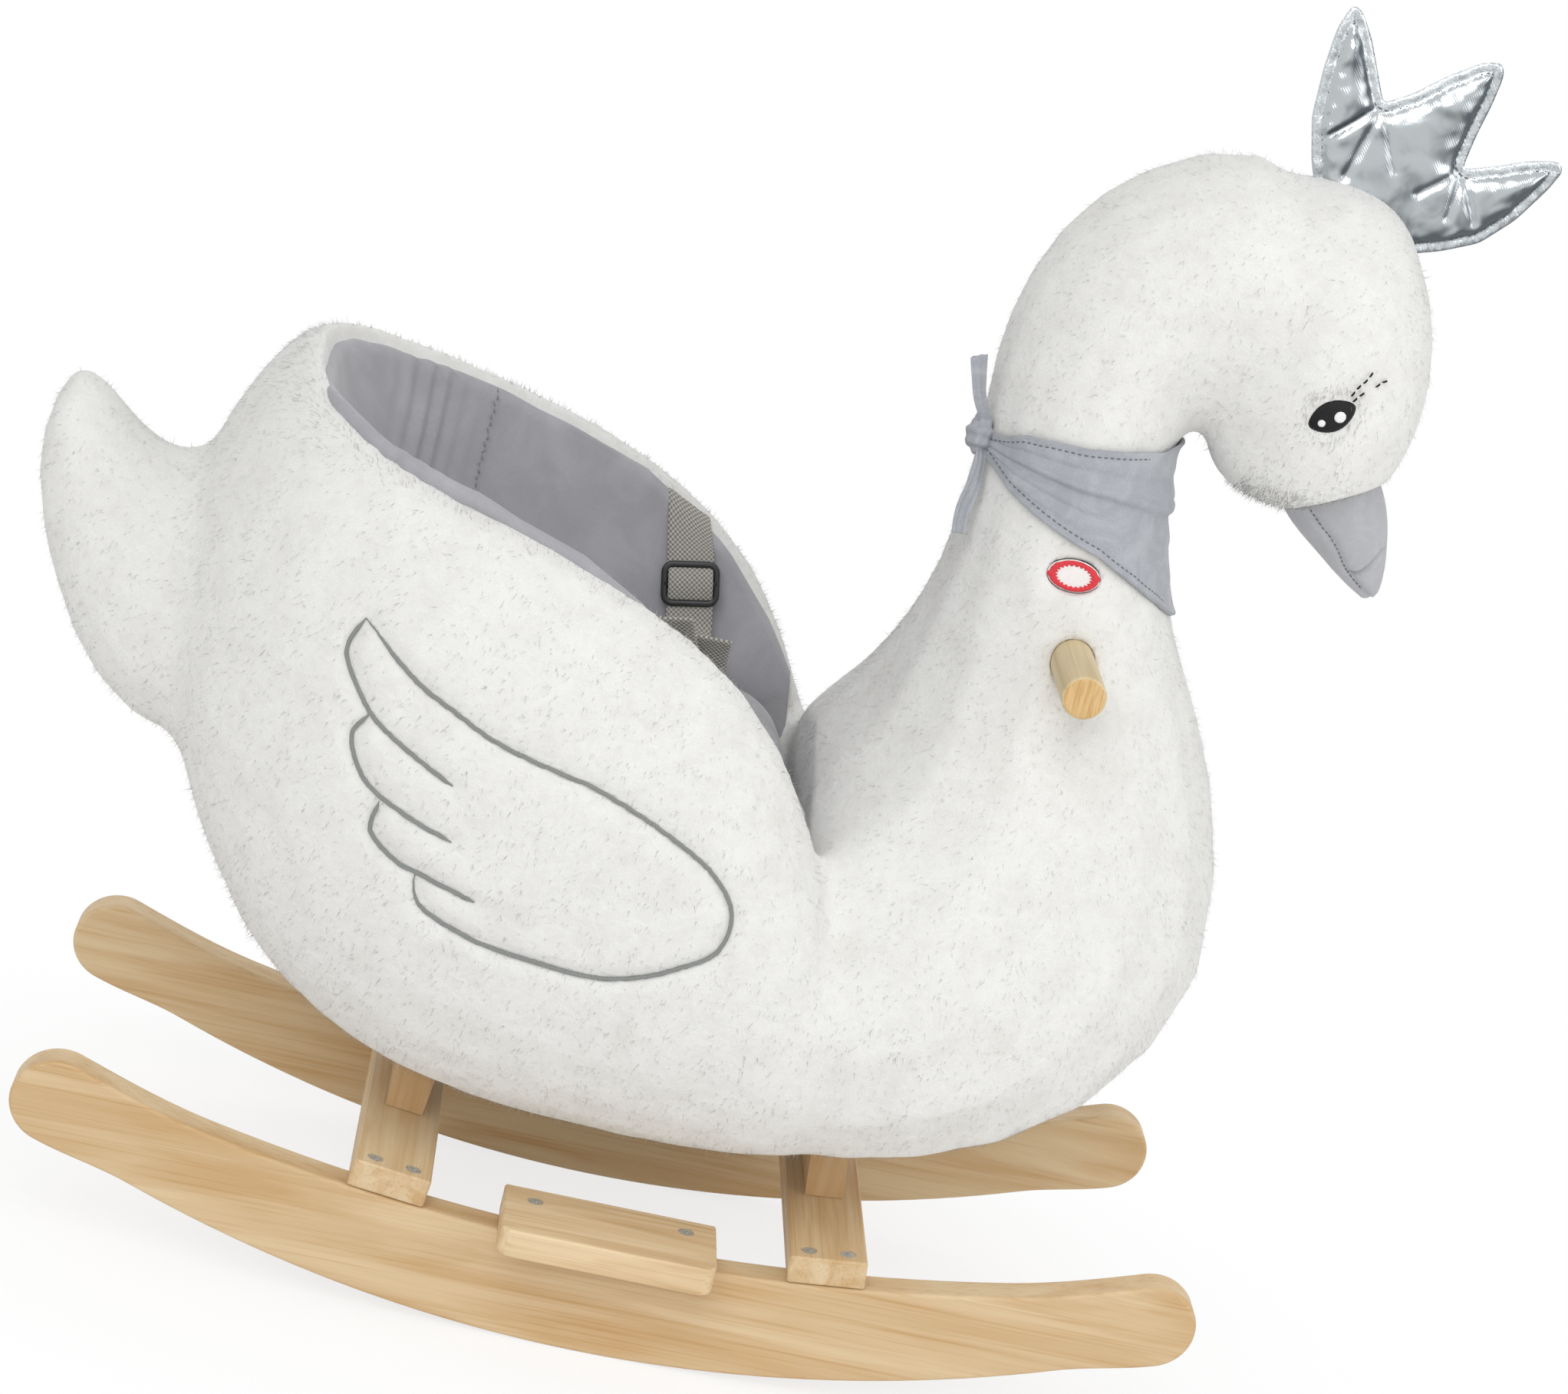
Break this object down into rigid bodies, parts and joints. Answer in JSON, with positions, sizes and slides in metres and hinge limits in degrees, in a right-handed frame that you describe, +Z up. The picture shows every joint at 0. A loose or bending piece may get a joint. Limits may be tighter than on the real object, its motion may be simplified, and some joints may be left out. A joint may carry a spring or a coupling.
{
  "type": "rocking swan",
  "caption": "Ride-on rocking swan: padded plush bird with a belted seat and a handle bar, on wooden rockers.",
  "frame": {"origin": "on the floor, at the centre of the overall length and width", "axes": "+X the way the swan faces, +Y to its left, +Z up"},
  "size_m": [0.6962, 0.3422, 0.737],
  "materials": {
    "pine": "sanded, clear matt varnish",
    "plywood": "raw, out of sight",
    "plush": "short-pile plush",
    "velour": "brushed velour",
    "lame": "metallic lame, padded",
    "webbing": "woven webbing",
    "acetal": "moulded, satin",
    "steel": "zinc plated",
    "thread_black": "embroidered",
    "thread_red": "embroidered",
    "case_plastic": "moulded"
  },
  "bodies": {
    "frame": {"back_board": "plywood", "back_bolster": "plush", "base_board": "plywood", "beak": "velour", "belly": "plush", "belt_left": "webbing", "belt_right": "webbing", "belt_tail_front": "webbing", "belt_tail_rear": "webbing", "buckle_plug": "acetal", "buckle_socket": "acetal", "chest": "plush", "crossbar_front": "pine", "crossbar_rear": "pine", "crown": "lame", "eye_left": "thread_black", "eye_right": "thread_black", "footrest_left": "pine", "footrest_right": "pine", "handle_bar": "pine", "head": "plush", "lining_back": "velour", "lining_left": "velour", "lining_right": "velour", "neck": "plush", "neck_post": "pine", "riser_front": "pine", "riser_rear": "pine", "rocker_left": "pine", "rocker_right": "pine", "scarf": "velour", "scarf_knot": "velour", "scarf_tail_lower": "velour", "scarf_tail_upper": "velour", "screw_footrest_left_1": "steel", "screw_footrest_left_2": "steel", "screw_footrest_right_1": "steel", "screw_footrest_right_2": "steel", "screw_front_left_1": "steel", "screw_front_left_2": "steel", "screw_front_right_1": "steel", "screw_front_right_2": "steel", "screw_rear_left_1": "steel", "screw_rear_left_2": "steel", "screw_rear_right_1": "steel", "screw_rear_right_2": "steel", "seat_bearer_front": "pine", "seat_bearer_rear": "pine", "seat_board": "plywood", "seat_cushion": "velour", "sound_case": "case_plastic", "sound_cover": "case_plastic", "speaker": "steel", "tail": "plush", "wing_left": "plush", "wing_right": "plush"},
    "press_button_body": {"press_button": "case_plastic", "press_patch": "thread_red"},
    "slider_left_body": {"slider_left": "acetal"},
    "slider_right_body": {"slider_right": "acetal"}
  },
  "joints": [
    {"name": "press_button_slide", "type": "slide", "parent": "frame", "child": "press_button_body", "axis": [0, 1, 0], "range_m": [0, 0.002], "stiffness_N_per_m": 400},
    {"name": "slider_left_slide", "type": "slide", "parent": "frame", "child": "slider_left_body", "axis": [-0.186, 0.2209, 0.9574], "range_m": [-0.006, 0.015]},
    {"name": "slider_right_slide", "type": "slide", "parent": "frame", "child": "slider_right_body", "axis": [-0.186, -0.2209, 0.9574], "range_m": [-0.006, 0.015]}
  ]
}
